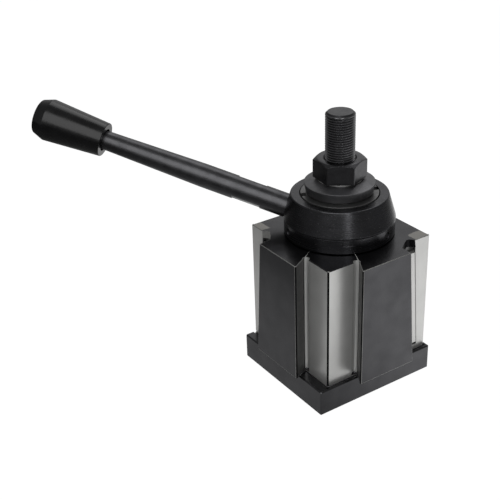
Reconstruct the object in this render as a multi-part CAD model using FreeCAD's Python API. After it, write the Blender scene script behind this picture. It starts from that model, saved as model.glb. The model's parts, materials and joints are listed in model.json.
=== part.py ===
"""Wedge-lock quick change tool post for a lathe, modelled in millimetres.

A black steel block stands on a square plinth. Two neighbouring sides, the front (-Y) and the
side (-X), each carry a male dovetail. The near flank of a dovetail is fixed. The far flank belongs
to a steel wedge that slides in a channel leaning a few degrees from upright, so that it spreads
the dovetail when it goes down. A round hub with a radial handle turns on the steep outer thread of
a central sleeve. It carries a ring that doesn't turn with it, and the pins of both wedges lie in
that ring, so both wedges rise and sink with the hub. A clamping stud runs down the middle, with a
thick conical washer and a hexagon nut on top.

The origin is the centre of the bore on the underside of the plinth, +Z points up, and the sides
of the block lie along X and Y. The rest pose is the locked one, with the hub down.
"""
import FreeCAD, Part
import math
import os

from FreeCAD import Vector

# Block and plinth
block_side = 82.0
column_height = 82.9
plinth_height = 18.1
plinth_reach_left = 8.4
plinth_reach_front = 4.0
plinth_reach_right = 1.9
plinth_edge_break = 0.8
block_edge_break = 0.5
foot_groove_width = 2.2
foot_groove_depth = 1.6

# Male dovetails, given on the front and mirrored to the side
dovetail_height = 11.8
dovetail_near_shoulder = 17.1
dovetail_angle = 60.0
flank_groove_width = 3.9
flank_groove_depth = 1.7

# Wedge channel
channel_lean = 4.1
channel_width = 13.9
channel_land_width = 6.26
channel_depth = 3.3
channel_lip = 1.6
channel_end_height = 2.6

# Webs that close the upper end of the channel round a small notch
web_gap = 0.57
notch_panel_corner = 3.4
notch_corner_run = 5.3
notch_corner_depth = 0.6
notch_floor_run = 4.2
notch_floor_width = 2.0
notch_floor_rise = 0.5

# Wedges
wedge_clearance = 0.05
wedge_top_drop = 9.3
wedge_end_gap = 1.0
wedge_nose_height = 3.0
wedge_neck = 1.82
wedge_foot_recess = 0.4

# Wedge pins
pin_radius = 2.5
pin_drop = 21.5
pin_edge = 0.46
pin_tip_gap = 0.9
pin_seat_depth = 4.6
pin_side_clearance = 0.35
pin_lift_clearance = 0.05

# Stud and sleeve
stud_radius = 9.525
stud_bore_clearance = 0.3
stud_rise = 30.2
stud_length = 176.0
stud_end_break = 1.4
sleeve_wall = 10.175
sleeve_seat_depth = 20.0
sleeve_neck_step = 1.0
cavity_floor_gap = 4.0

# Hub
thread_clearance = 0.05
hub_lead = 12.0
hub_turn_range = 100.0
hub_stop_gap = 0.67
hub_neck_wall = 3.95
hub_tail_length = 1.9
hub_cone_overhang = 0.5
hub_cone_height = 16.9
hub_cone_angle = 16.17

# Lift ring and its snap ring
lift_ring_wall = 6.1
lift_ring_floor = 1.45
lift_ring_bore_clearance = 0.1
cavity_clearance = 0.4
snap_ring_thickness = 1.6
snap_ring_reach = 2.4
snap_groove_depth = 1.3

# Adjusting ring under the cone
band_gap = 0.6
band_height = 9.5
band_wall = 5.8
band_screw_radius = 2.5
band_screw_recess = 0.8
band_screw_angle = 288.0
band_screw_count = 3
band_screw_offset = 0.25
band_notch_angle = 240.0
band_notch_width = 6.4
band_notch_height = 4.2
band_notch_depth = 0.5

# Retaining ring on top of the sleeve
ring_width = 6.2
ring_height = 6.4
ring_top_rise = 0.4
ring_clearance = 0.5
spanner_slot_width = 5.0
spanner_slot_depth = 3.4
spanner_slot_angle = 154.0

# Washer and nut
washer_stand_off = 1.2
washer_width = 11.475
washer_flare = 1.2
washer_edge_height = 6.0
washer_crown_height = 2.0
washer_crown_width = 7.5
washer_bore_clearance = 0.7
nut_across_flats = 30.0
nut_face_step = 0.8
nut_face_height = 1.5
nut_height = 14.3
nut_chamfer_angle = 30.0
nut_turn = 23.0
nut_thread_clearance = 0.05

# Handle
handle_azimuth = 130.8
handle_tilt = 16.5
handle_seat_rise = 4.15
spot_face_depth = 0.9
spot_face_clearance = 0.3
rod_length = 133.1
rod_parallel_length = 59.0
rod_root_radius = 7.9
rod_end_radius = 6.35
rod_shank_radius = 5.0
rod_shank_length = 12.0
rod_stub_length = 15.0
rod_flat_offset = 16.8
rod_flat_length = 19.5
rod_flat_depth = 1.1
rod_flat_roll = 40.0
knob_length = 48.5
knob_cover = 3.2
knob_small_radius = 11.45
knob_large_radius = 14.3
knob_end_radius = 11.5
knob_end_length = 7.7
insert_wall = 2.5
insert_length = 18.0

# Places that follow, from the plinth up
half = block_side / 2
body_height = plinth_height + column_height
dovetail_face = half + dovetail_height
dovetail_near_edge = half - dovetail_near_shoulder
flank_slope = 1 / math.tan(math.radians(dovetail_angle))
flank_root = -dovetail_near_edge + flank_slope * dovetail_height
lean_slope = math.tan(math.radians(channel_lean))
hub_lift = hub_lead * hub_turn_range / 360
channel_land_wall = half - channel_land_width - lean_slope * column_height
channel_panel_wall = channel_land_wall - channel_width
channel_floor = -half + channel_depth
web_height = wedge_top_drop - hub_lift - web_gap
wedge_length = column_height - channel_end_height - wedge_end_gap - wedge_top_drop
wedge_flank_root = channel_panel_wall + lean_slope * (wedge_top_drop + wedge_length) + wedge_neck

# Places that follow, outwards from the stud
stud_bore_radius = stud_radius + stud_bore_clearance
sleeve_thread_radius = stud_bore_radius + sleeve_wall
sleeve_neck_radius = sleeve_thread_radius - sleeve_neck_step
ring_radius = sleeve_neck_radius + ring_width
hub_bore_radius = sleeve_thread_radius + thread_clearance
hub_neck_radius = hub_bore_radius + hub_neck_wall
hub_recess_radius = ring_radius + ring_clearance
lift_ring_bore_radius = hub_neck_radius + lift_ring_bore_clearance
lift_ring_radius = lift_ring_bore_radius + lift_ring_wall
cavity_radius = lift_ring_radius + cavity_clearance
snap_groove_radius = hub_neck_radius - snap_groove_depth
snap_ring_radius = hub_neck_radius + snap_ring_reach
band_radius = lift_ring_radius + band_wall
hub_cone_bottom_radius = band_radius + hub_cone_overhang
cone_slope = math.tan(math.radians(hub_cone_angle))
hub_cone_top_radius = hub_cone_bottom_radius - cone_slope * hub_cone_height
washer_bore_radius = stud_radius + washer_bore_clearance
washer_bottom_radius = washer_bore_radius + washer_width
nut_face_radius = nut_across_flats / 2 - nut_face_step

# Places that follow, along the stud
pin_height = body_height - pin_drop
pin_from_axis = channel_panel_wall + lean_slope * pin_drop + pin_radius + pin_edge
pin_tip = math.sqrt((hub_neck_radius + pin_tip_gap) ** 2 - (pin_from_axis - pin_radius) ** 2)
lift_ring_height = 2 * (pin_radius + pin_lift_clearance + lift_ring_floor)
lift_ring_bottom = pin_height - lift_ring_height / 2
lift_ring_top = pin_height + lift_ring_height / 2
snap_ring_bottom = lift_ring_bottom - snap_ring_thickness
hub_bottom = snap_ring_bottom - hub_tail_length
cavity_floor = hub_bottom - cavity_floor_gap
band_bottom = body_height + band_gap
hub_cone_bottom = band_bottom + band_height
hub_cone_top = hub_cone_bottom + hub_cone_height
ring_top = hub_cone_top + ring_top_rise
ring_bottom = ring_top - ring_height
hub_recess_floor = ring_bottom - hub_lift - hub_stop_gap
washer_bottom = ring_top + washer_stand_off
nut_bottom = washer_bottom + washer_edge_height + washer_crown_height
stud_top = nut_bottom + nut_height + stud_rise
band_screw_height = band_bottom + band_height / 2 + band_screw_offset
band_screw_length = band_wall - band_screw_recess

# Places that follow, along the handle
handle_seat_radius = hub_cone_bottom_radius - cone_slope * handle_seat_rise
handle_axis_height = (hub_cone_bottom + handle_seat_rise
                      - handle_seat_radius * math.tan(math.radians(handle_tilt)))
rod_shoulder = handle_seat_radius / math.cos(math.radians(handle_tilt)) - spot_face_depth
rod_end = rod_shoulder + rod_length
knob_start = rod_end - knob_cover
knob_bore_radius = rod_shank_radius + insert_wall
far = 4 * block_side
X = Vector(1, 0, 0)
Z = Vector(0, 0, 1)


def ring_profile(points):
    """Revolves a closed outline of (radius, height) points about the Z axis."""
    outline = [Vector(r, 0, z) for r, z in points]
    wire = Part.makePolygon(outline + outline[:1])
    return Part.Face(wire).revolve(Vector(0, 0, 0), Z, 360)


def upright_prism(points, bottom, top):
    """Extrudes a plan outline from one height to another."""
    outline = [Vector(x, y, bottom) for x, y in points]
    wire = Part.makePolygon(outline + outline[:1])
    return Part.Face(wire).extrude(Vector(0, 0, top - bottom))


def leaning_prism(points, drop, length):
    """Extrudes a plan outline of the block's top down the line of the wedge channel."""
    outline = [Vector(x + lean_slope * drop, y, body_height - drop) for x, y in points]
    wire = Part.makePolygon(outline + outline[:1])
    return Part.Face(wire).extrude(Vector(lean_slope * length, 0, -length))


def taper(base, axis, sections):
    """Lofts straight tapers through circles, each given by its distance along the axis and its radius."""
    wires = [Part.Wire(Part.makeCircle(radius, base + axis * distance, axis))
             for distance, radius in sections]
    return Part.makeLoft(wires, True, True)


def tube(outer, inner, bottom, top):
    """A plain round ring or bush."""
    height = top - bottom
    base = Vector(0, 0, bottom)
    return Part.makeCylinder(outer, height, base).cut(Part.makeCylinder(inner, height, base))


def to_side(shape):
    """Mirrors a piece of the front dovetail to the side dovetail."""
    return shape.mirror(Vector(0, 0, 0), Vector(1, -1, 0))


def edges_where(shape, test):
    """The straight edges whose two ends both pass the test."""
    found = []
    for edge in shape.Edges:
        ends = [vertex.Point for vertex in edge.Vertexes]
        if len(ends) == 2 and all(test(point) for point in ends):
            found.append(edge)
    return found


def plinth():
    """Square foot of the block, with broken edges and a groove round the foot of the shoulders."""
    corner = Vector(-half - plinth_reach_left, -half - plinth_reach_front, 0)
    width = block_side + plinth_reach_left + plinth_reach_right
    foot = Part.makeBox(width, block_side + plinth_reach_front, plinth_height, corner)
    return foot.makeChamfer(plinth_edge_break, foot.Edges)


def front_panel():
    """Plain dovetail panel, undercut on its near side and cut off by the leaning channel."""
    outline = [(flank_root, -half + 1), (flank_root, -half), (-dovetail_near_edge, -dovetail_face),
               (half, -dovetail_face), (half, -half + 1)]
    panel = upright_prism(outline, plinth_height, body_height)
    beyond = [(channel_panel_wall, -far), (channel_panel_wall, -half), (far, -half), (far, -far)]
    return panel.cut(leaning_prism(beyond, -1, column_height + 2))


def front_channel():
    """Leaning channel of the wedge, with an undercut lip on the side of the land."""
    outline = [(channel_panel_wall, -far), (channel_panel_wall, channel_floor),
               (channel_land_wall + channel_lip, channel_floor),
               (channel_land_wall, -half), (channel_land_wall, -far)]
    return leaning_prism(outline, -1, column_height - channel_end_height + 1)


def front_web():
    """Webs at the upper end of the channel, which stop the wedge from below."""
    panel = channel_panel_wall
    land = channel_land_wall
    back = channel_floor
    corner = panel + notch_corner_run
    floor = corner + notch_floor_run
    outline = [(panel - 1, -half - notch_panel_corner), (panel, -half - notch_panel_corner),
               (corner, -half + notch_corner_depth), (floor, back),
               (floor + notch_floor_width, back - notch_floor_rise), (land, -half),
               (land + channel_lip + 1, -half), (land + channel_lip + 1, back + 1), (panel - 1, back + 1)]
    return leaning_prism(outline, 0, web_height)


def front_flank_groove():
    """Round relief groove along the root of the fixed flank."""
    width = flank_groove_width
    depth = flank_groove_depth
    radius = (width ** 2 / 4 + depth ** 2) / (2 * depth)
    centre = Vector(flank_root - width / 2, -half + depth - radius, plinth_height)
    return Part.makeCylinder(radius, column_height, centre)


def front_foot_groove():
    """Groove in the plinth along the foot of the ground shoulder, left out under the panel."""
    outer = half + foot_groove_width
    land = channel_panel_wall + lean_slope * column_height
    bottom = plinth_height - foot_groove_depth
    size = (foot_groove_width, foot_groove_depth)
    near = Part.makeBox(outer + flank_root, size[0], size[1], Vector(-outer, -outer, bottom))
    return near.fuse(Part.makeBox(half - land, size[0], size[1], Vector(land, -outer, bottom)))


def front_pin_window():
    """Way for the wedge pin from the channel to the central cavity."""
    side = pin_radius + pin_side_clearance + lean_slope * hub_lift
    low = pin_height - pin_radius - pin_side_clearance
    high = pin_height + pin_radius + hub_lift + pin_side_clearance
    corner = Vector(pin_from_axis - side, -half, low)
    return Part.makeBox(2 * side, half, high - low, corner)


def body():
    """One-piece block and plinth with both dovetails, channels, cavity and bore."""
    corner = Vector(-half, -half, plinth_height)
    block = Part.makeBox(block_side, block_side, column_height, corner)
    block = block.makeChamfer(block_edge_break, edges_where(block, lambda p: p.z > body_height - 0.01))
    foot = plinth().cut(front_foot_groove()).cut(to_side(front_foot_groove()))
    solid = foot.fuse([block, front_panel(), to_side(front_panel())])
    for tool in (front_channel(), front_flank_groove()):
        solid = solid.cut(tool).cut(to_side(tool))
    solid = solid.fuse([front_web(), to_side(front_web())])
    cavity = Part.makeCylinder(cavity_radius, far, Vector(0, 0, cavity_floor))
    seat = Part.makeCylinder(sleeve_thread_radius, far, Vector(0, 0, cavity_floor - sleeve_seat_depth))
    bore = Part.makeCylinder(stud_bore_radius, far)
    for tool in (cavity, seat, bore, front_pin_window(), to_side(front_pin_window())):
        solid = solid.cut(tool)
    return solid.removeSplitter()


def front_wedge():
    """Leaning bar with an upright clamping flank, held in the channel of the front."""
    gap = wedge_clearance
    floor = channel_floor - gap
    nose = -half - wedge_nose_height
    foot = -half + wedge_foot_recess
    lip = channel_lip / channel_depth
    panel = channel_panel_wall + gap
    land = channel_land_wall - gap
    bar = [(panel, nose), (panel, floor), (land + lip * (floor + half), floor),
           (land + lip * wedge_foot_recess, foot), (land, foot), (land, nose)]
    solid = leaning_prism(bar, wedge_top_drop, wedge_length)
    # The holder's side is cut upright, so the clamping flank stays parallel to the fixed flank
    edge = wedge_flank_root + flank_slope * wedge_nose_height
    holder_side = [(wedge_flank_root - flank_slope * wedge_foot_recess, foot), (edge, nose), (edge, -far),
                   (far, -far), (far, foot)]
    solid = solid.cut(upright_prism(holder_side, 0, far))
    return solid.cut(Part.makeCylinder(pin_radius, far, pin_seat(), Vector(0, 1, 0)))


def pin_seat():
    """Blind end of the pin's hole in the wedge."""
    return Vector(pin_from_axis, channel_floor - pin_seat_depth, pin_height)


def front_pin():
    """Drive pin pressed into the back of the wedge, with its tip in the lift ring."""
    return Part.makeCylinder(pin_radius, -pin_tip - pin_seat().y, pin_seat(), Vector(0, 1, 0))


def centre_sleeve():
    """Fixed sleeve, seated in the block, that the hub turns on and the stud passes through."""
    seat = cavity_floor - sleeve_seat_depth
    profile = [(stud_bore_radius, seat), (sleeve_thread_radius, seat),
               (sleeve_thread_radius, ring_bottom), (sleeve_neck_radius, ring_bottom),
               (sleeve_neck_radius, washer_bottom), (stud_bore_radius, washer_bottom)]
    return ring_profile(profile)


def retaining_ring():
    """Slotted ring nut that keeps the hub on the sleeve."""
    solid = tube(ring_radius, sleeve_neck_radius, ring_bottom, ring_top)
    for turn in (0, 180):
        corner = Vector(ring_radius - spanner_slot_depth, -spanner_slot_width / 2, ring_bottom)
        slot = Part.makeBox(far, spanner_slot_width, ring_height, corner)
        slot.rotate(Vector(0, 0, 0), Z, spanner_slot_angle + turn)
        solid = solid.cut(slot)
    return solid


def handle_frame(shape):
    """Moves a piece from its own X axis to the line of the handle."""
    shape.rotate(Vector(0, 0, 0), Vector(0, 1, 0), -handle_tilt)
    shape.rotate(Vector(0, 0, 0), Z, handle_azimuth)
    shape.translate(Vector(0, 0, handle_axis_height))
    return shape


def bar(radius, start, end):
    """A plain round bar along the X axis."""
    return Part.makeCylinder(radius, end - start, Vector(start, 0, 0), X)


def rod_seat():
    """Threaded hole for the rod and the flat spot that its shoulder bears on."""
    hole = bar(rod_shank_radius, rod_shoulder - rod_shank_length, rod_shoulder + 1)
    return handle_frame(hole.fuse(bar(rod_root_radius + spot_face_clearance, rod_shoulder, far)))


def handle_hub():
    """Conical hub with its skirt down in the block and a recess for the retaining ring."""
    bore = hub_bore_radius
    bottom = hub_cone_bottom
    top = hub_cone_top
    profile = [(bore, hub_bottom), (hub_neck_radius, hub_bottom), (hub_neck_radius, snap_ring_bottom),
               (snap_groove_radius, snap_ring_bottom), (snap_groove_radius, lift_ring_bottom),
               (hub_neck_radius, lift_ring_bottom), (hub_neck_radius, lift_ring_top),
               (lift_ring_radius, lift_ring_top), (lift_ring_radius, bottom),
               (hub_cone_bottom_radius, bottom), (hub_cone_top_radius, top), (hub_recess_radius, top),
               (hub_recess_radius, hub_recess_floor), (bore, hub_recess_floor)]
    return ring_profile(profile).cut(rod_seat())


def adjusting_ring():
    """Plain band under the cone, locked on the hub by radial screws."""
    solid = tube(band_radius, lift_ring_radius, band_bottom, hub_cone_bottom).cut(rod_seat())
    for index in range(band_screw_count):
        solid = solid.cut(band_screw_tool(index, far))
    notch = Part.makeBox(far, band_notch_width, band_notch_height,
                         Vector(band_radius - band_notch_depth, -band_notch_width / 2,
                                hub_cone_bottom - band_notch_height))
    notch.rotate(Vector(0, 0, 0), Z, band_notch_angle)
    return solid.cut(notch)


def band_screw_tool(index, length):
    """Cylinder of one radial screw of the adjusting ring."""
    shape = Part.makeCylinder(band_screw_radius, length, Vector(lift_ring_radius, 0, band_screw_height),
                              X)
    shape.rotate(Vector(0, 0, 0), Z, band_screw_angle + index * 360 / band_screw_count)
    return shape


def band_screw(index):
    """Headless screw of the adjusting ring."""
    return band_screw_tool(index, band_screw_length)


def lift_ring():
    """Ring that rises with the hub without turning, with a window for each wedge pin."""
    solid = tube(lift_ring_radius, lift_ring_bore_radius, lift_ring_bottom, lift_ring_top)
    side = pin_radius + pin_side_clearance
    tall = pin_radius + pin_lift_clearance
    window = Part.makeBox(2 * side, half, 2 * tall,
                          Vector(pin_from_axis - side, -half - pin_tip + pin_side_clearance,
                                 pin_height - tall))
    return solid.cut(window).cut(to_side(window))


def snap_ring():
    """Snap ring in the hub's groove, under the lift ring."""
    return tube(snap_ring_radius, snap_groove_radius, snap_ring_bottom, lift_ring_bottom)


def stud():
    """Clamping stud, as a plain bar of the thread's outer diameter with chamfered ends."""
    bottom = stud_top - stud_length
    edge = stud_end_break
    profile = [(0, bottom), (stud_radius - edge, bottom), (stud_radius, bottom + edge),
               (stud_radius, stud_top - edge), (stud_radius - edge, stud_top), (0, stud_top)]
    return ring_profile(profile)


def thick_washer():
    """Thick washer with a slightly waisted edge and a shallow conical top."""
    edge = washer_bottom_radius + washer_flare
    sections = [(washer_bottom, washer_bottom_radius), (washer_bottom + washer_edge_height, edge),
                (nut_bottom, edge - washer_crown_width)]
    return taper(Vector(0, 0, 0), Z, sections).cut(Part.makeCylinder(washer_bore_radius, far))


def hex_nut():
    """Hexagon nut, chamfered on both sides, with a round bearing face."""
    corner = nut_across_flats / 2 / math.cos(math.radians(30))
    turns = [math.radians(nut_turn + 60 * index) for index in range(6)]
    top = nut_bottom + nut_height
    shoulder = nut_bottom + nut_face_height
    hexagon = upright_prism([(corner * math.cos(a), corner * math.sin(a)) for a in turns], nut_bottom, top)
    fall = (corner - nut_face_radius) * math.tan(math.radians(nut_chamfer_angle))
    envelope = ring_profile([(0, nut_bottom), (nut_face_radius, nut_bottom), (nut_face_radius, shoulder),
                             (corner + 0.01, shoulder + fall), (corner + 0.01, top - fall),
                             (nut_face_radius, top), (0, top)])
    bore = Part.makeCylinder(stud_radius + nut_thread_clearance, far)
    return hexagon.common(envelope).cut(bore)


def handle_rod():
    """Rod with a parallel part, a taper, a threaded root, a threaded end and two wrench flats."""
    taper_start = rod_shoulder + rod_parallel_length
    cone = taper(Vector(0, 0, 0), X, [(taper_start, rod_root_radius), (rod_end, rod_end_radius)])
    solid = bar(rod_root_radius, rod_shoulder, taper_start).fuse(cone)
    shank = bar(rod_shank_radius, rod_shoulder - rod_shank_length, rod_shoulder)
    stub = bar(rod_shank_radius, rod_end, rod_end + rod_stub_length)
    flat_height = rod_root_radius - rod_flat_depth
    for side in (1, -1):
        flat = Part.makeBox(rod_flat_length, 2 * rod_root_radius, rod_root_radius,
                            Vector(rod_shoulder + rod_flat_offset, -rod_root_radius, flat_height))
        if side < 0:
            flat = flat.mirror(Vector(0, 0, 0), Z)
        flat.rotate(Vector(0, 0, 0), X, rod_flat_roll)
        solid = solid.cut(flat)
    return handle_frame(solid.fuse([shank, stub]))


def handle_knob():
    """Tapered knob with a blind hole for its bush and a chamfered end."""
    end = knob_start + knob_length
    sections = [(knob_start, knob_small_radius), (end - knob_end_length, knob_large_radius),
                (end, knob_end_radius)]
    solid = taper(Vector(0, 0, 0), X, sections)
    return handle_frame(solid.cut(bar(knob_bore_radius, knob_start - 1, rod_end + insert_length)))


def knob_insert():
    """Threaded bush moulded into the knob."""
    bush = bar(knob_bore_radius, rod_end, rod_end + insert_length)
    return handle_frame(bush.cut(bar(rod_shank_radius, rod_end - 1, rod_end + insert_length + 1)))


def parts():
    """Every piece by its node name."""
    wedge = front_wedge()
    pin = front_pin()
    pieces = {
        "body": body(),
        "front_wedge": wedge,
        "front_wedge_pin": pin,
        "side_wedge": to_side(wedge),
        "side_wedge_pin": to_side(pin),
        "centre_sleeve": centre_sleeve(),
        "retaining_ring": retaining_ring(),
        "handle_hub": handle_hub(),
        "adjusting_ring": adjusting_ring(),
        "lift_ring": lift_ring(),
        "snap_ring": snap_ring(),
        "stud": stud(),
        "thick_washer": thick_washer(),
        "hex_nut": hex_nut(),
        "handle_rod": handle_rod(),
        "handle_knob": handle_knob(),
        "knob_insert": knob_insert(),
    }
    for index in range(band_screw_count):
        pieces["band_screw_%d" % (index + 1)] = band_screw(index)
    return pieces


os.makedirs("parts", exist_ok=True)
for name, shape in parts().items():
    if not shape.isValid() or len(shape.Solids) != 1:
        print("check", name, "valid", shape.isValid(), "solids", len(shape.Solids))
    shape.exportStep(os.path.join("parts", name + ".step"))
    print("%-18s %10.1f mm3" % (name, shape.Volume))
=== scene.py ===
import bmesh
import bpy
import json
import math
import numpy as np
from mathutils import Matrix, Vector


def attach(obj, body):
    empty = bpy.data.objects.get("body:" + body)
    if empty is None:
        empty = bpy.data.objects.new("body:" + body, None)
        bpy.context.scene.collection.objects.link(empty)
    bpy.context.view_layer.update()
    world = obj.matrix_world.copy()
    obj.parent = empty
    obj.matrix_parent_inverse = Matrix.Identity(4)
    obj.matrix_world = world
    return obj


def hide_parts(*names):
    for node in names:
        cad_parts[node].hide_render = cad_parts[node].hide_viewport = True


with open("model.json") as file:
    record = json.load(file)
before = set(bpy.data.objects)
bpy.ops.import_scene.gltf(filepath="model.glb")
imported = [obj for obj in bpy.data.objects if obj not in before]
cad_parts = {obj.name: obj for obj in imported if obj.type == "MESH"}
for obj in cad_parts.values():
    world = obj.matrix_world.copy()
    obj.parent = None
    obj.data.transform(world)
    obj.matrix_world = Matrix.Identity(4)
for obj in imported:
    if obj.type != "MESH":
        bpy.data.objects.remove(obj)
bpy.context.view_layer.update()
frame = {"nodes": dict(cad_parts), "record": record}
mm = 0.001


# Colours and materials

def linearColour(hexText):
    # sRGB byte c to linear light: c/12.92 below 0.04045, else ((c + 0.055)/1.055)^2.4
    channels = [int(hexText[i:i + 2], 16) / 255 for i in (1, 3, 5)]
    return [c / 12.92 if c <= 0.04045 else ((c + 0.055) / 1.055) ** 2.4 for c in channels] + [1.0]


def addNode(tree, kind, settings=None, links=None):
    # One node with its properties, its input values and its incoming links
    node = tree.nodes.new(kind)
    for key, value in (settings or {}).items():
        if isinstance(key, int) or key in node.inputs:
            node.inputs[key].default_value = value
        else:
            setattr(node, key, value)
    for key, source in (links or {}).items():
        tree.links.new(source, node.inputs[key])
    return node


def newMaterial(name, shader):
    # An empty material with one Principled shader and its own values
    material = bpy.data.materials.new(name)
    material.use_nodes = True
    tree = material.node_tree
    tree.nodes.clear()
    principled = addNode(tree, "ShaderNodeBsdfPrincipled", shader)
    addNode(tree, "ShaderNodeOutputMaterial", None, {"Surface": principled.outputs["BSDF"]})
    return material, tree, principled


def objectCoords(tree, scale=(1, 1, 1)):
    coords = addNode(tree, "ShaderNodeTexCoord")
    return addNode(tree, "ShaderNodeMapping", {"Scale": scale},
                   {"Vector": coords.outputs["Object"]}).outputs["Vector"]


def ramp(tree, source, stops):
    # A colour ramp from (position, hex colour) stops
    node = addNode(tree, "ShaderNodeValToRGB", None, {"Fac": source})
    elements = node.color_ramp.elements
    while len(elements) < len(stops):
        elements.new(0.5)
    for element, (position, colour) in zip(elements, stops):
        element.position = position
        element.color = linearColour(colour)
    return node.outputs["Color"]


# Noise keeps mostly between these two values
noiseLow, noiseHigh = 0.3, 0.7


def steelMaterial(name, look, patches=()):
    # Machined steel: two tones in soft clouds, roughness and a faint relief that follow the tool marks,
    # fine pits, and patches of another tone where the surface is rubbed
    material, tree, principled = newMaterial(name, {"Metallic": look["metallic"],
                                                    "Roughness": look["roughness"]})
    clouds = addNode(tree, "ShaderNodeTexNoise", {"Scale": 1000 / look["cloudMm"], "Detail": 4.0},
                     {"Vector": objectCoords(tree)})
    tone = ramp(tree, clouds.outputs["Fac"], [(look["cloudFrom"], look["dark"]),
                                              (look["cloudTo"], look["light"])])
    specks = addNode(tree, "ShaderNodeTexNoise", {"Scale": 1000 / look["speckMm"], "Detail": 2.0},
                     {"Vector": objectCoords(tree)})
    speckTone = ramp(tree, specks.outputs["Fac"], [(look["speckFrom"], "#000000"),
                                                   (look["speckFrom"] + look["speckRun"], "#ffffff")])
    tone = mixTone(tree, speckTone, tone, look["speck"])
    marks = addNode(tree, "ShaderNodeTexNoise", {"Scale": 1.0, "Detail": 3.0},
                    {"Vector": objectCoords(tree, [1000 / size for size in look["markMm"]])})
    rough = addNode(tree, "ShaderNodeMapRange", {"From Min": noiseLow, "From Max": noiseHigh,
                                                 "To Min": look["roughness"] - look["roughSpread"],
                                                 "To Max": look["roughness"] + look["roughSpread"]},
                    {"Value": marks.outputs["Fac"]})
    for patch in patches:
        tone = mixTone(tree, patchMask(tree, patch), tone, patch["tone"])
    tree.links.new(tone, principled.inputs["Base Color"])
    tree.links.new(rough.outputs["Result"], principled.inputs["Roughness"])
    bump = addNode(tree, "ShaderNodeBump", {"Strength": look["bump"], "Distance": look["bumpMm"] * mm},
                   {"Height": marks.outputs["Fac"]})
    fine = addNode(tree, "ShaderNodeBump", {"Strength": look["pit"], "Distance": look["bumpMm"] * mm},
                   {"Height": specks.outputs["Fac"], "Normal": bump.outputs["Normal"]})
    tree.links.new(fine.outputs["Normal"], principled.inputs["Normal"])
    return material


def mixTone(tree, factor, first, second):
    # First colour where the factor is 0; second, a hex colour, where it is 1. For colours, a Mix node takes
    # its factor at socket 0 and the two colours at 6 and 7, and gives the result at 2
    mixed = addNode(tree, "ShaderNodeMix", {"data_type": "RGBA", "blend_type": "MIX"})
    tree.links.new(factor, mixed.inputs[0])
    tree.links.new(first, mixed.inputs[6])
    mixed.inputs[7].default_value = linearColour(second)
    return mixed.outputs[2]


def patchMask(tree, patch):
    # 1 inside a box about the patch's centre, 0 outside: the larger of |x|/a, |y|/b and |z|/c, made ragged
    # by noise of the given grain, is cut off at 1
    size = [1000 / half for half in patch["half"]]
    place = [-centre / half for centre, half in zip(patch["centre"], patch["half"])]
    coords = addNode(tree, "ShaderNodeTexCoord")
    scaled = addNode(tree, "ShaderNodeMapping", {"Location": place, "Scale": size},
                     {"Vector": coords.outputs["Object"]})
    away = addNode(tree, "ShaderNodeVectorMath", {"operation": "ABSOLUTE"}, {0: scaled.outputs["Vector"]})
    parts = addNode(tree, "ShaderNodeSeparateXYZ", None, {0: away.outputs["Vector"]})
    flat = addNode(tree, "ShaderNodeMath", {"operation": "MAXIMUM"},
                   {0: parts.outputs["X"], 1: parts.outputs["Y"]})
    deep = addNode(tree, "ShaderNodeMath", {"operation": "MAXIMUM"},
                   {0: flat.outputs["Value"], 1: parts.outputs["Z"]})
    grain = addNode(tree, "ShaderNodeTexNoise", {"Scale": 1000 / patch["grainMm"], "Detail": 3.0},
                    {"Vector": objectCoords(tree)})
    ragged = addNode(tree, "ShaderNodeMath", {"operation": "MULTIPLY_ADD", 1: patch["ragged"]},
                     {0: grain.outputs["Fac"], 2: deep.outputs["Value"]})
    edge = 1 + patch["ragged"] / 2
    cut = addNode(tree, "ShaderNodeMapRange", {"From Min": edge - patch["fade"], "From Max": edge,
                                               "To Min": 1.0, "To Max": 0.0},
                  {"Value": ragged.outputs["Value"]})
    return cut.outputs["Result"]


oxideLook = {"dark": "#4b4b4d", "light": "#545456", "cloudMm": 11, "cloudFrom": 0.32, "cloudTo": 0.68,
             "speck": "#5e5e60", "speckMm": 0.55, "speckFrom": 0.64, "speckRun": 0.07,
             "metallic": 1.0, "roughness": 0.24, "roughSpread": 0.025, "markMm": (9, 9, 9),
             "bump": 0.04, "bumpMm": 0.02, "pit": 0.03}
# Milled block under black oxide: an even dark mirror, softened by the blackening bath
milledOxide = steelMaterial("milledBlackOxide", oxideLook)
# The block's top, blackened too, but rubbed bare at its two far corners
rubbedPatch = {"grainMm": 4, "ragged": 0.5, "fade": 0.08, "tone": "#8e8c88"}
rubbedOxide = steelMaterial("rubbedBlackOxide", oxideLook, [
    dict(rubbedPatch, centre=(35.4, -36.8, 101), half=(6.4, 4.4, 3)),
    dict(rubbedPatch, centre=(-37.8, 35.0, 101), half=(3.4, 5.8, 3))])
# Near-black, nearly matt oxide: painted shade on the upright faces inside the block and in the front's notch,
# and a painted dark reflection along the near corner's chamfer and the dovetails' blunt tips
mattOxideAndPaintedShade = steelMaterial("mattOxidePaintedShade", dict(oxideLook, dark="#19191a", light="#202022", speck="#26262a",
                                                 roughness=0.5))
# Turned hub under black oxide: fine rings, with tiny bright specks that catch the lamps
turnedOxide = steelMaterial("turnedBlackOxide", dict(
    oxideLook, dark="#434345", light="#4d4d50", speck="#8a8a8c", cloudMm=9, speckMm=0.6, speckFrom=0.66,
    roughness=0.27, roughSpread=0.05, markMm=(16, 16, 0.5), bump=0.10, pit=0.16))
# Blackened bar steel of the nut, the stud's end and the small screws: a little glossier, with an oily film
barOxide = steelMaterial("blackenedBarSteel", dict(
    oxideLook, dark="#48484a", light="#525254", speck="#6c6c6e", cloudMm=7, speckMm=0.6, speckFrom=0.66,
    roughness=0.31, roughSpread=0.05, markMm=(4, 4, 4), bump=0.06, pit=0.06))
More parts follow.
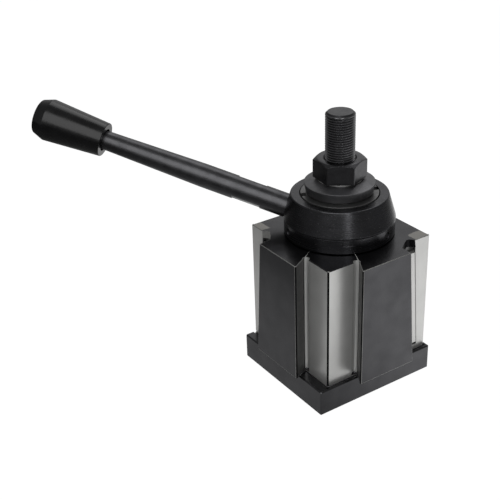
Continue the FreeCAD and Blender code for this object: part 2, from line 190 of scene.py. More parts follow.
# Washer: the same, dulled and greyed under the nut
satinOxide = steelMaterial("satinBlackOxide", dict(
    oxideLook, dark="#646466", light="#707072", speck="#8a8a8c", cloudMm=7, speckMm=0.6, speckFrom=0.66,
    metallic=0.92, roughness=0.4, roughSpread=0.05, markMm=(4, 4, 4), bump=0.04, pit=0.04))
# Rod under black oxide, handled: satin, between the nut and the washer
rodOxide = steelMaterial("handledBlackOxide", dict(
    oxideLook, dark="#505052", light="#5c5c5e", speck="#747476", cloudMm=8, speckMm=0.6, speckFrom=0.68,
    metallic=0.95, roughness=0.34, roughSpread=0.05, markMm=(5, 5, 5), bump=0.04, pit=0.05))
# Rolled thread under black oxide: a touch lighter, with crisp crests
threadOxide = steelMaterial("threadBlackOxide", dict(
    oxideLook, dark="#78787a", light="#848486", speck="#929294", cloudMm=7, roughness=0.22, roughSpread=0.02,
    bump=0.01, pit=0.0))
# Surface-ground shoulder: bare bright steel with faint upright streaks. On the nut's washer face the same
# steel is a painted highlight
groundSteelAndHighlight = steelMaterial("groundSteelAndPaintedHighlight", dict(
    oxideLook, dark="#d0d0ce", light="#d8d8d6", speck="#bcbcba", cloudMm=16, speckMm=0.7, speckFrom=0.72,
    metallic=0.72, roughness=0.35, roughSpread=0.02, markMm=(1.4, 1.4, 40), bump=0.015, bumpMm=0.01,
    pit=0.005))
# Dull bright steel painted as light: painted highlights along the block's edges and painted light on the lit
# walls of the side's notch
paintedLightSteel = steelMaterial("paintedLightBareSteel", dict(
    oxideLook, dark="#90908e", light="#a0a09e", speck="#6e6e6e", cloudMm=3, speckMm=0.8, speckFrom=0.62,
    metallic=0.6, roughness=0.4, roughSpread=0.04, markMm=(3, 3, 3), bump=0.04, bumpMm=0.01, pit=0.03))
# Hardened ring, dovetail flanks and channels: darker than bare steel and dulled by oil
ringSteel = steelMaterial("oiledRingSteel", dict(
    oxideLook, dark="#636363", light="#707070", speck="#8e8e8e", cloudMm=4, speckMm=0.6, speckFrom=0.66,
    metallic=0.8, roughness=0.36, roughSpread=0.05, markMm=(6, 6, 0.5), bump=0.05, bumpMm=0.01, pit=0.04))
# Bare turned steel of the parts inside
turnedSteel = steelMaterial("turnedBareSteel", dict(
    oxideLook, dark="#8e8e8e", light="#a0a0a0", speck="#6a6a6a", cloudMm=10, speckMm=0.6, speckFrom=0.68,
    roughness=0.34, roughSpread=0.06, markMm=(8, 8, 0.5), bump=0.06, bumpMm=0.01, pit=0.04))
# Turned brass bush of the knob
turnedBrass = steelMaterial("turnedBrass", dict(
    oxideLook, dark="#a8843c", light="#b9954a", speck="#8a6a2c", cloudMm=8, speckMm=0.5, speckFrom=0.68,
    roughness=0.3, roughSpread=0.05, markMm=(4, 4, 0.5), bump=0.05, bumpMm=0.01, pit=0.03))
print("materials of the metal made")


thermosetLook = {"plain": "#0c0c0d", "dark": "#0a0a0b", "light": "#111112", "flowMm": 9, "flowFrom": 0.35,
                 "flowTo": 0.65, "ior": 1.5, "roughness": 0.24, "roughSpread": 0.04, "grainMm": 0.8,
                 "bump": 0.05, "bumpMm": 0.02}


def thermosetMaterial(look):
    # Moulded black thermoset: a deep polished black with faint flow clouds in its gloss
    material, tree, principled = newMaterial("mouldedThermoset", {
        "Base Color": linearColour(look["plain"]), "Metallic": 0.0, "IOR": look["ior"],
        "Roughness": look["roughness"]})
    flow = addNode(tree, "ShaderNodeTexNoise", {"Scale": 1000 / look["flowMm"], "Detail": 3.0},
                   {"Vector": objectCoords(tree)})
    tone = ramp(tree, flow.outputs["Fac"], [(look["flowFrom"], look["dark"]),
                                            (look["flowTo"], look["light"])])
    tree.links.new(tone, principled.inputs["Base Color"])
    rough = addNode(tree, "ShaderNodeMapRange", {"From Min": noiseLow, "From Max": noiseHigh,
                                                 "To Min": look["roughness"] - look["roughSpread"],
                                                 "To Max": look["roughness"] + look["roughSpread"]},
                    {"Value": flow.outputs["Fac"]})
    tree.links.new(rough.outputs["Result"], principled.inputs["Roughness"])
    grain = addNode(tree, "ShaderNodeTexNoise", {"Scale": 1000 / look["grainMm"]},
                    {"Vector": objectCoords(tree)})
    bump = addNode(tree, "ShaderNodeBump", {"Strength": look["bump"], "Distance": look["bumpMm"] * mm},
                   {"Height": grain.outputs["Fac"]})
    tree.links.new(bump.outputs["Normal"], principled.inputs["Normal"])
    return material


thermoset = thermosetMaterial(thermosetLook)


# Meshes

# Degrees between two faces: up to flatAngle they make one flat face, above sharpAngle their edge may be
# broken, and above the crease the shading breaks, on grid pieces and on copies of CAD pieces
flatAngle, sharpAngle, gridCrease, copyCrease = 0.5, 24, 32, 50


def pieceFromGrid(name, points, materials, closedRows=True, closedColumns=False):
    # A sheet of quads through a rows x columns grid of points. Rows close round the axis, and unless the
    # columns close too, the first and last ring are filled with a fan about their middle
    rows, columns = points.shape[:2]
    index = np.arange(rows * columns).reshape(rows, columns)
    across = np.roll(index, -1, axis=1) if closedRows else index[:, 1:]
    here = index if closedRows else index[:, :-1]
    if closedColumns:
        low, lowNext = here, across
        high, highNext = np.roll(here, -1, axis=0), np.roll(across, -1, axis=0)
    else:
        low, lowNext, high, highNext = here[:-1], across[:-1], here[1:], across[1:]
    quads = np.stack([low, lowNext, highNext, high], axis=-1).reshape(-1, 4)
    vertices = points.reshape(-1, 3)
    faces = quads.tolist()
    if not closedColumns:
        count = len(vertices)
        vertices = np.vstack([vertices, points[0].mean(axis=0), points[-1].mean(axis=0)])
        ring = np.arange(columns)
        after = np.roll(ring, -1)
        last = index[-1]
        faces += np.stack([after, ring, np.full(columns, count)], axis=-1).tolist()
        faces += np.stack([last[ring], last[after], np.full(columns, count + 1)], axis=-1).tolist()
    mesh = bpy.data.meshes.new(name)
    mesh.from_pydata((vertices * mm).tolist(), [], faces)
    mesh.update()
    return finishMesh(name, mesh, materials)


def placePiece(name, mesh, materials):
    for material in materials:
        mesh.materials.append(material)
    piece = bpy.data.objects.new(name, mesh)
    bpy.context.scene.collection.objects.link(piece)
    return piece


def finishMesh(name, mesh, materials):
    # Merges doubles, turns the faces outwards and shades them smooth up to the crease
    work = bmesh.new()
    work.from_mesh(mesh)
    bmesh.ops.remove_doubles(work, verts=work.verts, dist=1e-7)
    bmesh.ops.recalc_face_normals(work, faces=work.faces)
    for face in work.faces:
        face.smooth = True
    for edge in work.edges:
        edge.smooth = len(edge.link_faces) != 2 or edge.calc_face_angle(0) < math.radians(gridCrease)
    work.to_mesh(mesh)
    work.free()
    return placePiece(name, mesh, materials)


def paintFaces(piece, test):
    # Gives the faces whose middle, in mm, passes the test the piece's second material
    for polygon in piece.data.polygons:
        polygon.material_index = int(test(*(polygon.center / mm)))


def roundedProfile(corners, radii, steps=5):
    # Walks a closed outline of (radius, height) corners and rounds each by its own fillet: points on the
    # arc are a quadratic curve between the two tangent points, with the corner as its middle control point.
    # A further point on each side, at hold, keeps the straight runs flat under smooth shading. An arc takes
    # no more than runShare of the straight run beside it
    runShare, holdShare, holdMost = 0.45, 0.02, 0.12
    corners = np.array(corners, float)
    radii = np.broadcast_to(np.array(radii, float), (len(corners),))
    before = np.roll(corners, 1, axis=0) - corners
    after = np.roll(corners, -1, axis=0) - corners
    lengthBefore = np.linalg.norm(before, axis=1)
    lengthAfter = np.linalg.norm(after, axis=1)
    before = before / lengthBefore[:, None]
    after = after / lengthAfter[:, None]
    half = np.arccos(np.clip((before * after).sum(axis=1), -1, 1)) / 2
    shorter = np.minimum(lengthBefore, lengthAfter)
    reach = np.minimum(radii / np.tan(half), runShare * shorter)
    start = corners + before * reach[:, None]
    end = corners + after * reach[:, None]
    t = np.linspace(0, 1, steps)[None, :, None]
    curve = (1 - t) ** 2 * start[:, None] + 2 * t * (1 - t) * corners[:, None] + t ** 2 * end[:, None]
    hold = np.minimum(holdMost, holdShare * shorter)[:, None]
    curve = np.concatenate([(start + before * hold)[:, None], curve, (end + after * hold)[:, None]], axis=1)
    return curve.reshape(-1, 2)


def around(r, angle, z):
    # Points about the Z axis: (r cos a, r sin a, z)
    return np.stack(np.broadcast_arrays(r * np.cos(angle), r * np.sin(angle), z), axis=-1)


def turnedPiece(name, profile, materials, segments=160):
    # Turns a closed outline of (radius, height) points round the Z axis
    angle = np.linspace(0, 2 * np.pi, segments, endpoint=False)
    return pieceFromGrid(name, around(profile[:, :1], angle, profile[:, 1:]), materials, closedColumns=True)


def softenedCopy(node, name, materials, groups, paint=None, edgePaint=None, axis=None):
    # A merged copy of a CAD piece with broken edges. Each group gives a test on an edge's middle and on the
    # angle between its faces, and the width and steps of its bevel. With an axis, the turned faces get the
    # normals of the true round form; else flat faces stay flat and the rest is smooth
    work = bmesh.new()
    work.from_mesh(frame["nodes"][node].data)
    bmesh.ops.remove_doubles(work, verts=work.verts, dist=1e-6)
    bmesh.ops.dissolve_limit(work, angle_limit=math.radians(flatAngle), verts=work.verts, edges=work.edges)
    bmesh.ops.recalc_face_normals(work, faces=work.faces)
    for face in work.faces:
        face.material_index = paint(face.calc_center_median() / mm, face.normal) if paint else 0
    mark = work.faces.layers.int.new("rounded")
    for test, width, steps in groups:
        edges = [edge for edge in work.edges if len(edge.link_faces) == 2
                 and test(sum((vertex.co for vertex in edge.verts), Vector()) / 2 / mm,
                          math.degrees(edge.calc_face_angle(0)))]
        made = bmesh.ops.bevel(work, geom=edges, offset=width * mm, offset_type="OFFSET", segments=steps,
                               profile=0.5, affect="EDGES", clamp_overlap=False, material=-1)
        for face in made["faces"]:
            face[mark] = 1
            if edgePaint:
                face.material_index = edgePaint(face.calc_center_median() / mm, face.normal)
    rounded = {face for face in work.faces if face[mark]}
    for face in work.faces:
        plain = [edge for edge in face.edges
                 if len(edge.link_faces) == 2 and not rounded.intersection(edge.link_faces)]
        curved = any(flatAngle < math.degrees(edge.calc_face_angle(0)) < sharpAngle for edge in plain)
        face.smooth = bool(axis) or face in rounded or curved
    for edge in work.edges:
        edge.smooth = len(edge.link_faces) != 2 or edge.calc_face_angle(0) < math.radians(copyCrease)
    corners = turnedNormals(work, rounded, axis) if axis else None
    mesh = bpy.data.meshes.new(name)
    work.to_mesh(mesh)
    work.free()
    mesh.attributes.remove(mesh.attributes["rounded"])
    if corners:
        mesh.normals_split_custom_set(corners)
    return placePiece(name, mesh, materials)


def anySharp(middle, angle):
    return angle > sharpAngle


def turnedNormals(work, rounded, axis):
    # The normal of a face of revolution at a corner is its slope (outward part, axial part) turned to the
    # corner's own direction from the axis. A rounding takes the slope of the plain face that it runs into.
    # On a turned face the two parts make a length of 1, but for a small error
    base, along = axis
    lengthError = 0.012
    work.faces.index_update()

    def outward(point):
        away = point - base - along * (point - base).dot(along)
        return away.normalized() if away.length > 1e-6 else None

    slopes = []
    for face in work.faces:
        normal = face.normal
        away = outward(face.calc_center_median())
        slope = (normal.dot(away), normal.dot(along)) if away else (0.0, normal.dot(along))
        turned = abs(1 - math.hypot(*slope)) < lengthError
        slopes.append(slope if turned else None)
    corners = []
    for face in work.faces:
        own = slopes[face.index]
        for loop in face.loops:
            away = outward(loop.vert.co)
            if own is None or away is None:
                corners.append(tuple(face.normal))
                continue
            slope = own
            if face in rounded:
                beside = [other for other in loop.vert.link_faces if slopes[other.index]]
                plain = [other for other in beside if other not in rounded] or beside
                total = [sum(slopes[other.index][part] for other in plain) for part in (0, 1)]
                slope = [part / (math.hypot(*total) or 1) for part in total]
            corners.append(tuple(away * slope[0] + along * slope[1]))
    return corners


def keep(piece, node):
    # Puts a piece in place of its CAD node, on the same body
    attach(piece, bodyOf[node])
    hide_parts(node)


bodyOf = {node: body for body, nodes in frame["record"]["behaviour"]["bodies"].items() for node in nodes}


# Block

# Sizes in mm. A dovetail panel stands in front of each shoulder: flankRoot and panelEdge are the ends of its
# fixed flank, panelFace is its outer face. Behind the other flank runs the wedge's channel, with a notch at
# its upper end
block = {"shoulder": 41.0, "plinthTop": 18.1, "top": 101.0, "panelFace": 52.8, "panelEdge": 23.9,
         "flankRoot": 17.1, "grooveWidth": 3.9, "grooveFloor": 38.5, "innerReach": 40.5,
         "channelFloor": 36.0, "channelMouth": 41.5, "channelFrom": 14.0, "channelTo": 36.0,
         "notchMouth": 46.0, "notchTo": 29.5, "notchBottom": 88.0,
         "edgeBreak": 0.38, "edgeAngle": 55, "cornerBreak": 0.95, "cornerAngle": 50, "cornerFrom": 25.0,
         "cornerTo": 95.0, "tipBreak": 0.9, "tipAngle": 80, "boreMouth": 36.0, "boreTop": 100.0,
         "footTop": 1.0}

# How near counts, in mm, as on a plane, at the end of a flank, at a corner and just under a shoulder. Then
# how much of a normal counts as facing a way, as slanted between two ways, and as pointing up or down
onPlane, onFlankEnd, onCorner, skin = 0.1, 0.3, 0.5, 0.2
facing, slanted, upward = 0.9, 0.95, 0.5

# Bands of edges painted with highlights and dark lines, in mm from the top, the plinth, the panel's face and
# its tip
edgePaintBands = {"top": 1.0, "underPlinth": 0.9, "overPlinth": 0.6, "panelFoot": 1.0, "face": 1.0, "tip": 1.2,
        "tipFacing": 0.72, "cornerTop": 0.6, "shoulderReach": 39.0, "farEnd": 28.0}

# Places of the finishes in the block's list of materials
oxide, ground, paintedShade, paintedLight, rubbed, oiled = range(6)
blockMaterials = [milledOxide, groundSteelAndHighlight, mattOxideAndPaintedShade, paintedLightSteel, rubbedOxide, ringSteel]


def bothWays(x, y):
    # The front and the side are mirror images: what lies at (x, y) on one lies at (y, x) on the other
    return (x, y), (y, x)


def inNotch(x, y, z):
    # Where the cutter of a channel broke out at its upper end
    return z > block["notchBottom"] and any(
        -block["notchMouth"] < a < -block["channelFloor"] and block["channelFrom"] < b < block["notchTo"]
        for a, b in bothWays(x, y))


def inGroove(x, y):
    # Along the root of a fixed flank, from the rim of the relief groove to the flank
    rim = -block["flankRoot"] - block["grooveWidth"] - onFlankEnd
    root = -block["flankRoot"] + onFlankEnd
    return any(rim < a < root and -block["shoulder"] - skin < b < -block["grooveFloor"]
               for a, b in bothWays(x, y))


def inChannel(x, y):
    return any(-block["channelMouth"] < a < -block["channelFloor"]
               and block["channelFrom"] < b < block["channelTo"] for a, b in bothWays(x, y))


def onFlank(x, y):
    return any(-block["panelEdge"] - onFlankEnd < a < -block["flankRoot"] + onFlankEnd
               and b < -block["shoulder"] - skin for a, b in bothWays(x, y))


def blockPaint(centre, normal):
    # Above the plinth: ground steel on both shoulders and in the groove, the rubbed top, painted light in
    # bright steel on the walls of the side's notch and painted shade on the front's, oiled steel on the fixed
    # flanks and in the channels, painted shade on the upright faces inside. Black oxide elsewhere
    x, y, z = centre
    if z <= block["plinthTop"]:
        return oxide
    onFront = abs(y + block["shoulder"]) < onPlane and normal.y < -facing
    onSide = abs(x + block["shoulder"]) < onPlane and normal.x < -facing
    if onFront or onSide:
        return ground
    if abs(z - block["top"]) < onPlane and normal.z > facing:
        return rubbed
    if inNotch(x, y, z):
        # The same notch on both sides: painted light on the side's lit walls, painted shade on the front's
        return paintedLight if y > 0 else paintedShade
    if inGroove(x, y) and abs(normal.z) < upward:
        return ground
    if inChannel(x, y) or onFlank(x, y) and max(abs(normal.x), abs(normal.y)) < slanted:
        return oiled
    inside = max(abs(x), abs(y)) < block["innerReach"] and abs(normal.z) < facing
    # Upright faces inside the block: painted shade
    return paintedShade if inside else oxide


def blockEdgePaint(centre, normal):
    # Painted highlights in bright steel along the panels' upper, near and lower edges, the groove's rim and
    # the top of the near corner. The dovetails' blunt tips and the near corner's chamfer are painted dark,
    # with painted highlights on the tips' outward faces
    x, y, z = centre
    outer, inner = min(x, y), max(x, y)
    atTop = z > block["top"] - edgePaintBands["top"]
    if z < block["plinthTop"] - edgePaintBands["underPlinth"]:
        return oxide
    if outer < -block["panelFace"] + edgePaintBands["face"]:
        outward = -normal.x if x < y else -normal.y
        # The dovetail's blunt tip: a painted highlight on its outward faces, a painted dark reflection on the
        # rest
        if abs(inner + block["panelEdge"]) < edgePaintBands["tip"] and not atTop:
            return paintedLight if outward > edgePaintBands["tipFacing"] else paintedShade
        # Painted highlights along the panel's upper and lower edges
        return paintedLight if atTop or z < block["plinthTop"] + edgePaintBands["panelFoot"] else oxide
    if z < block["plinthTop"] + edgePaintBands["overPlinth"]:
        return oxide
    if inner < -edgePaintBands["shoulderReach"]:
        # The near corner's chamfer: a painted dark line, with a painted highlight at its top
        return paintedShade if z < block["top"] - edgePaintBands["cornerTop"] else paintedLight
    if outer > -edgePaintBands["shoulderReach"]:
        return oxide
    if inner > edgePaintBands["farEnd"]:
        # Painted highlight on the far end's upper edge
        return paintedLight if atTop else ground
    # Painted highlights on the other edges along the shoulders, the groove's rim among them
    return paintedLight


def nearCorner(middle, angle):
    atCorner = all(abs(value + block["shoulder"]) < onCorner for value in (middle.x, middle.y))
    return angle > block["cornerAngle"] and atCorner and block["cornerFrom"] < middle.z < block["cornerTo"]


def panelTip(middle, angle):
    return angle > block["tipAngle"] and any(
        abs(a + block["panelEdge"]) < onFlankEnd and abs(b + block["panelFace"]) < onFlankEnd
        for a, b in bothWays(middle.x, middle.y))


def blockSharp(middle, angle):
    # The chamfers of the source, at 45 degrees, are left as they are, and so are the foot, the notches and
    # the mouth of the bore
    if inNotch(*middle) or middle.z <= block["footTop"]:
        return False
    outsideBore = math.hypot(middle.x, middle.y) > block["boreMouth"] or middle.z > block["boreTop"]
    return angle > block["edgeAngle"] and outsideBore


blockGroups = [(nearCorner, block["cornerBreak"], 1), (panelTip, block["tipBreak"], 1),
               (blockSharp, block["edgeBreak"], 2)]
blockPiece = softenedCopy("body", "blockAndPlinth", blockMaterials, blockGroups, blockPaint, blockEdgePaint)
keep(blockPiece, "body")
print("block made")


# Stud

stud = {"radius": 9.525, "top": 182.1, "length": 176.0, "endBreak": 1.4, "endFace": 1.0, "columns": 97,
        "pitch": 1.5875, "threadLength": 52.0, "depth": 0.95, "rowsPerPitch": 12, "flankSlope": 1.18,
        "rootFlat": 0.06, "runIn": 0.5, "runOut": 0.8}


def threadedStud():
    # Rows of points follow the helix: z = row height + pitch * a/2pi, held between the thread's start and the
    # top. Radius at (a, z) is the crest less the thread's depth times a rounded V wave of (z/pitch - a/2pi),
    # and less the 45 degree chamfers at both ends. The last column meets the first one pitch higher
    start = stud["top"] - stud["threadLength"]
    foot = stud["top"] - stud["length"]
    steps = int(round(stud["threadLength"] / stud["pitch"] + 2) * stud["rowsPerPitch"])
    angle = np.linspace(0, 2 * np.pi, stud["columns"])
    row = start - stud["pitch"] + np.arange(steps) * stud["pitch"] / stud["rowsPerPitch"]
    z = np.clip(row[:, None] + stud["pitch"] * angle[None, :] / (2 * np.pi), start, stud["top"])
    z = np.vstack([np.repeat([[foot], [foot + stud["endBreak"]]], len(angle), axis=1), z])
    phase = (z / stud["pitch"] - angle / (2 * np.pi)) % 1
    wave = np.clip(stud["flankSlope"] * np.abs(2 * phase - 1) - stud["rootFlat"], 0, 1)
    fadeIn = np.clip((z - start) / stud["runIn"], 0, 1)
    fadeOut = np.clip((stud["top"] - stud["endBreak"] - z) / stud["runOut"], 0, 1)
    ends = stud["radius"] - stud["endBreak"] + np.minimum(stud["top"] - z, z - foot)
    r = np.minimum(stud["radius"] - stud["depth"] * fadeIn * fadeOut * (1 - wave), ends)
    piece = pieceFromGrid("threadedStud", around(r, angle, z), [threadOxide, barOxide], closedRows=False)
    paintFaces(piece, lambda x, y, z: z > stud["top"] - stud["endFace"])
    return piece


studPiece = threadedStud()
keep(studPiece, "stud")
print("stud made")


# Washer and nut

washer = {"bottom": 129.6, "edge": 6.0, "crown": 2.0, "low": 21.7, "high": 22.9, "crownRadius": 15.4,
          "bore": 10.225, "rounds": [0.2, 0.4, 0.35, 0.5, 0.2]}
washerShoulder = washer["bottom"] + washer["edge"]
washerTop = washerShoulder + washer["crown"]
washerOutline = [(washer["bore"], washer["bottom"]), (washer["low"], washer["bottom"]),
                 (washer["high"], washerShoulder), (washer["crownRadius"], washerTop),
                 (washer["bore"], washerTop)]
washerPiece = turnedPiece("thickWasher", roundedProfile(washerOutline, washer["rounds"]), [satinOxide])
keep(washerPiece, "thick_washer")

nut = {"flats": 30.0, "bottom": 137.6, "height": 14.3, "turn": 23.0, "cornerRound": 0.35, "slope": 30,
       "chamferRows": 16, "faceRadius": 14.4, "faceHeight": 1.3, "faceBreak": 0.3, "faceHighlightBand": 1.0,
       "bore": 9.6, "boreBreak": 1.1, "hold": 0.1, "segments": 360}


def hexagonNut():
    # Radius at (a, z) is the least of the hexagon, h/cos(a folded into 60 degrees), and the cone of the upper
    # chamfer, faceRadius + distance from the end / tan(slope). A thin round washer face is below, its outer
    # band painted bright steel as a painted highlight
    slope = math.radians(nut["slope"])
    corner = nut["flats"] / 2 / math.cos(math.radians(30))
    angle = np.linspace(0, 2 * np.pi, nut["segments"], endpoint=False)
    folded = (angle - math.radians(nut["turn"]) + 1e-9) % (np.pi / 3) - np.pi / 6
    hexagon = np.minimum(nut["flats"] / 2 / np.cos(folded), corner - nut["cornerRound"] / 3)
    low = nut["bottom"] + nut["faceHeight"]
    top = nut["bottom"] + nut["height"]
    chamferLow = top - (corner - nut["faceRadius"]) * math.tan(slope)
    z = np.concatenate([[low, low + nut["hold"], chamferLow - nut["hold"]],
                        np.linspace(chamferLow, top, nut["chamferRows"])])
    cone = nut["faceRadius"] + (top - z) / math.tan(slope)
    body = np.minimum(hexagon[None, :], cone[:, None])
    below = np.array([nut["bore"], nut["faceRadius"] - nut["faceBreak"], nut["faceRadius"],
                      nut["faceRadius"]])
    above = np.array([nut["bore"] + nut["boreBreak"], nut["bore"]])
    ring = np.ones(len(angle))
    r = np.vstack([below[:, None] * ring, body, above[:, None] * ring])
    heights = np.concatenate([[nut["bottom"], nut["bottom"], nut["bottom"] + nut["faceBreak"], low], z,
                              [top, top - nut["boreBreak"]]])
    piece = pieceFromGrid("hexagonNut", around(r, angle, heights[:, None]), [barOxide, groundSteelAndHighlight],
                          closedColumns=True)
    # The outer band of the washer face gets the bright steel: a painted highlight
    paintFaces(piece, lambda x, y, z: (z < low - nut["hold"]
                                       and math.hypot(x, y) > nut["faceRadius"] - nut["faceHighlightBand"]))
    return piece


nutPiece = hexagonNut()
keep(nutPiece, "hex_nut")
print("washer and nut made")


# Hub and handle

handle = {"azimuth": 130.8, "tilt": 16.5, "height": 104.795}


def handleTurn():
    # Tilt about Y, then azimuth about Z
    return (Matrix.Rotation(math.radians(handle["azimuth"]), 3, "Z")
            @ Matrix.Rotation(-math.radians(handle["tilt"]), 3, "Y"))


upright = (Vector((0, 0, 0)), Vector((0, 0, 1)))
handleLine = (Vector((0, 0, handle["height"] * mm)), handleTurn() @ Vector((1, 0, 0)))
# The hub's three rounded edges: where each lies, and the width and steps of its rounding
hub = {"rim": {"radius": 31.6, "height": 128.0, "width": 0.7, "steps": 3},
       "foot": {"radius": 36.5, "height": 111.1, "width": 1.0, "steps": 4},
       "recess": {"radius": 25.7, "height": 128.0, "width": 0.35, "steps": 2}}
seekAcross, seekUp = 0.6, 0.1


def hubEdge(radius, height, width, steps):
    # The group for softenedCopy that finds the round edge at that radius and height
    def test(middle, angle):
        reach = math.hypot(middle.x, middle.y)
        return angle > sharpAngle and abs(middle.z - height) < seekUp and abs(reach - radius) < seekAcross
    return test, width, steps


softened = {
    "handle_hub": ("conicalHub", turnedOxide, [hubEdge(**edge) for edge in hub.values()], upright,
                   "black_oxide_steel"),
    "adjusting_ring": ("adjustingBand", turnedOxide, [(anySharp, 0.2, 2)], upright, "black_oxide_steel"),
    "retaining_ring": ("slottedRing", ringSteel, [(anySharp, 0.25, 2)], upright, "hardened_steel"),
    "handle_rod": ("taperedRod", rodOxide, [(anySharp, 0.15, 2)], handleLine, "black_oxide_hardware"),
    "front_wedge": ("frontWedgeBar", groundSteelAndHighlight, [(anySharp, 0.2, 2)], None, "ground_steel"),
    "side_wedge": ("sideWedgeBar", groundSteelAndHighlight, [(anySharp, 0.2, 2)], None, "ground_steel"),
}
for node, (name, material, groups, axis, slotName) in softened.items():
    keep(softenedCopy(node, name, [material], groups, axis=axis), node)
print("hub and rod made")


# Knob

knob = {"start": 165.813, "length": 48.5, "small": 11.45, "large": 14.3, "end": 11.5, "endLength": 7.7,
        "mouth": 7.5, "blind": 187.013, "axis": 0.01, "rounds": [0.3, 0.5, 1.4, 1.6, 0, 0, 0.2],
        "roundSteps": 8, "segments": 128}


def alongHandle(points):
    # Turns points given along X to the handle's line
    return points @ np.array(handleTurn()).T + np.array([0, 0, handle["height"]])


def taperedKnob():
    # The outline of (radius, distance) is turned about Z, laid along X and brought to the handle's line
    end = knob["start"] + knob["length"]
    outline = [(knob["mouth"], knob["start"]), (knob["small"], knob["start"]),
               (knob["large"], end - knob["endLength"]), (knob["end"], end), (knob["axis"], end),
               (knob["axis"], knob["blind"]), (knob["mouth"], knob["blind"])]
    profile = roundedProfile(outline, knob["rounds"], steps=knob["roundSteps"])
    angle = np.linspace(0, 2 * np.pi, knob["segments"], endpoint=False)
    points = around(profile[:, :1], angle, profile[:, 1:])[..., [2, 0, 1]]
    return pieceFromGrid("taperedKnob", alongHandle(points.reshape(-1, 3)).reshape(points.shape), [thermoset],
                         closedColumns=True)


knobPiece = taperedKnob()
keep(knobPiece, "handle_knob")
print("knob made")


# The remaining CAD pieces keep their shape and get their finish

finishes = {"centre_sleeve": turnedSteel, "lift_ring": turnedSteel, "snap_ring": barOxide,
            "knob_insert": turnedBrass, "front_wedge_pin": turnedSteel, "side_wedge_pin": turnedSteel,
            "band_screw_1": barOxide, "band_screw_2": barOxide, "band_screw_3": barOxide}
for node, material in finishes.items():
    target = frame["nodes"][node]
    if target.material_slots:
        target.material_slots[0].material = material
    else:
        target.data.materials.append(material)


# Floor, lamps and camera

# Lengths in metres. Camera rays see the sheet plain white: white times share comes to 1, and the rest of it
# is the paper's own shade. The stops of pool and side tone what gloss sees of it
sheet = {"half": 6.0, "drop": 0.0002, "paper": "#f2f2f2", "white": 1.07, "share": 0.93,
         "centre": (0.06, -0.06), "reach": 0.6, "left": -0.25, "width": 0.5,
         "pool": [(0.2, "#646464"), (0.36, "#a0a0a0"), (0.5, "#ffffff")],
         "side": [(0.2, "#6c6c6c"), (0.26, "#aaaaaa"), (0.42, "#a8a8a8"), (0.58, "#ffffff")]}


def floorMaterial():
    # A white sheet: its own white over a faint diffuse shade that keeps the shadow. What gloss sees of it is
    # grey: it falls off with the distance from a lit middle, as 1 - distance / reach, and to the left, where
    # the sheet is in shade, with (x - left) / width
    material = bpy.data.materials.new("paleSheet")
    material.use_nodes = True
    tree = material.node_tree
    tree.nodes.clear()
    size = [1 / sheet["reach"]] * 2 + [0.0]
    place = [-value / sheet["reach"] for value in sheet["centre"]] + [0.0]
    coords = addNode(tree, "ShaderNodeTexCoord")
    scaled = addNode(tree, "ShaderNodeMapping", {"Location": place, "Scale": size},
                     {"Vector": coords.outputs["Object"]})
    pool = addNode(tree, "ShaderNodeTexGradient", {"gradient_type": "SPHERICAL"},
                   {"Vector": scaled.outputs["Vector"]})
    across = addNode(tree, "ShaderNodeMapping", {"Location": (-sheet["left"] / sheet["width"], 0, 0),
                                                 "Scale": (1 / sheet["width"], 1, 1)},
                     {"Vector": coords.outputs["Object"]})
    side = addNode(tree, "ShaderNodeTexGradient", {"gradient_type": "LINEAR"},
                   {"Vector": across.outputs["Vector"]})
    both = addNode(tree, "ShaderNodeMix", {"data_type": "RGBA", "blend_type": "MULTIPLY", 0: 1.0})
    tree.links.new(ramp(tree, pool.outputs["Fac"], sheet["pool"]), both.inputs[6])
    tree.links.new(ramp(tree, side.outputs["Fac"], sheet["side"]), both.inputs[7])
    path = addNode(tree, "ShaderNodeLightPath")
    tone = mixTone(tree, path.outputs["Is Camera Ray"], both.outputs[2], "#ffffff")
    paper = addNode(tree, "ShaderNodeBsdfDiffuse", {"Color": linearColour(sheet["paper"])})
    glow = addNode(tree, "ShaderNodeEmission", {"Strength": sheet["white"]}, {"Color": tone})
    seen = addNode(tree, "ShaderNodeMath", {"operation": "MAXIMUM"},
                   {0: path.outputs["Is Camera Ray"], 1: path.outputs["Is Glossy Ray"]})
    seenToo = addNode(tree, "ShaderNodeMath", {"operation": "MAXIMUM"},
                      {0: seen.outputs["Value"], 1: path.outputs["Is Transmission Ray"]})
    share = addNode(tree, "ShaderNodeMath", {"operation": "MULTIPLY", 1: sheet["share"]},
                    {0: seenToo.outputs["Value"]})
    mix = addNode(tree, "ShaderNodeMixShader", None, {"Fac": share.outputs["Value"]})
    tree.links.new(paper.outputs["BSDF"], mix.inputs[1])
    tree.links.new(glow.outputs["Emission"], mix.inputs[2])
    addNode(tree, "ShaderNodeOutputMaterial", None, {"Surface": mix.outputs["Shader"]})
    return material


half = sheet["half"]
floorMesh = bpy.data.meshes.new("paleFloor")
floorMesh.from_pydata([(-half, -half, 0), (half, -half, 0), (half, half, 0), (-half, half, 0)], [],
                      [(0, 1, 2, 3)])
floorObject = placePiece("paleFloor", floorMesh, [floorMaterial()])
floorObject.location.z = -sheet["drop"]

# Direction of the backdrop's middle, and its tone from the walls behind the camera to that middle
walls = {"middle": (0.70, 0.58, 0.42),
         "stops": [(0.0, "#808080"), (0.6, "#747474"), (0.84, "#8c8c8c"), (0.95, "#c8c8c8")]}


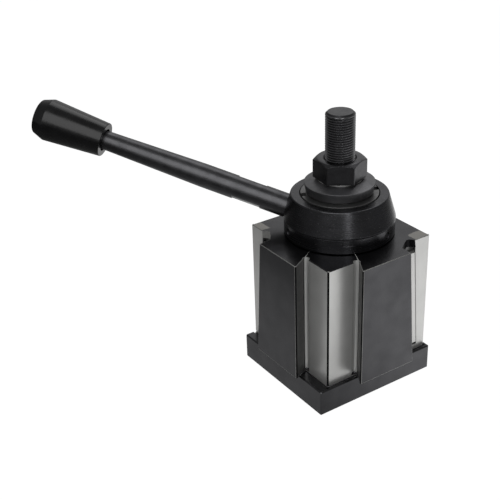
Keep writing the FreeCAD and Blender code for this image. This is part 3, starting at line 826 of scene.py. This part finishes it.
def studioWalls():
    # White to the camera alone; to all else a grey backdrop behind the object, whose light falls off with the
    # angle from its middle, and dim grey walls elsewhere
    world = bpy.data.worlds.new("studioWalls")
    bpy.context.scene.world = world
    world.use_nodes = True
    tree = world.node_tree
    tree.nodes.clear()
    coords = addNode(tree, "ShaderNodeTexCoord")
    middle = Vector(walls["middle"]).normalized()
    toward = addNode(tree, "ShaderNodeVectorMath", {"operation": "DOT_PRODUCT", 1: middle},
                     {0: coords.outputs["Generated"]})
    path = addNode(tree, "ShaderNodeLightPath")
    backdrop = ramp(tree, toward.outputs["Value"], walls["stops"])
    tone = mixTone(tree, path.outputs["Is Camera Ray"], backdrop, "#ffffff")
    light = addNode(tree, "ShaderNodeBackground", {"Strength": 1.0}, {"Color": tone})
    addNode(tree, "ShaderNodeOutputWorld", None, {"Surface": light.outputs["Background"]})


studioWalls()

# Place and target in metres, size in metres, power in watts
lamps = {"softBoxLeftOfCamera": {"place": (-0.76, -0.56, 0.92), "target": (-0.1, 0.1, 0.13),
                                 "size": (1.1, 1.1), "power": 5.7},
         "stripBox": {"place": (-0.44, -1.20, 0.70), "target": (0, 0, 0.16),
                      "size": (0.16, 0.9), "power": 2.2},
         "softBoxBehind": {"place": (0.50, 0.40, 1.05), "target": (0, 0, 0.13),
                           "size": (0.8, 0.6), "power": 1.8}}


def softLamp(name, place, target, size, power):
    # A soft box that looks at a point of the object
    light = bpy.data.lights.new(name, "AREA")
    light.shape = "RECTANGLE"
    light.size, light.size_y = size
    light.energy = power
    lamp = bpy.data.objects.new(name, light)
    lamp.location = place
    lamp.rotation_euler = (Vector(target) - Vector(place)).to_track_quat("-Z", "Y").to_euler()
    bpy.context.scene.collection.objects.link(lamp)


for name, lamp in lamps.items():
    softLamp(name, **lamp)

# Angles in degrees, place and lens in mm, the far end of what it sees in metres
view = {"azimuth": -32.887, "elevation": 27.792, "roll": -2.123, "place": (-357.29, -444.64, 387.32),
        "lens": 70.168, "sensor": 36, "clipEnd": 20}


def placeCamera():
    # Right, up and back vectors from azimuth, elevation and roll are the columns of the camera's turn
    azimuth, elevation, roll = (math.radians(view[key]) for key in ("azimuth", "elevation", "roll"))
    back = Vector((math.sin(azimuth) * math.cos(elevation), -math.cos(azimuth) * math.cos(elevation),
                   math.sin(elevation)))
    right = Vector((math.cos(azimuth), math.sin(azimuth), 0))
    up = back.cross(right)
    rolledRight = right * math.cos(roll) + up * math.sin(roll)
    rolledUp = up * math.cos(roll) - right * math.sin(roll)
    turn = Matrix((rolledRight, rolledUp, back)).transposed().to_4x4()
    data = bpy.data.cameras.new("studioCamera")
    data.lens = view["lens"]
    data.sensor_width = view["sensor"]
    data.clip_end = view["clipEnd"]
    camera = bpy.data.objects.new("studioCamera", data)
    camera.matrix_world = Matrix.Translation(Vector(view["place"]) * mm) @ turn
    bpy.context.scene.collection.objects.link(camera)
    bpy.context.scene.camera = camera


placeCamera()
bpy.context.scene.view_settings.view_transform = "Standard"
print("camera and lamps placed")
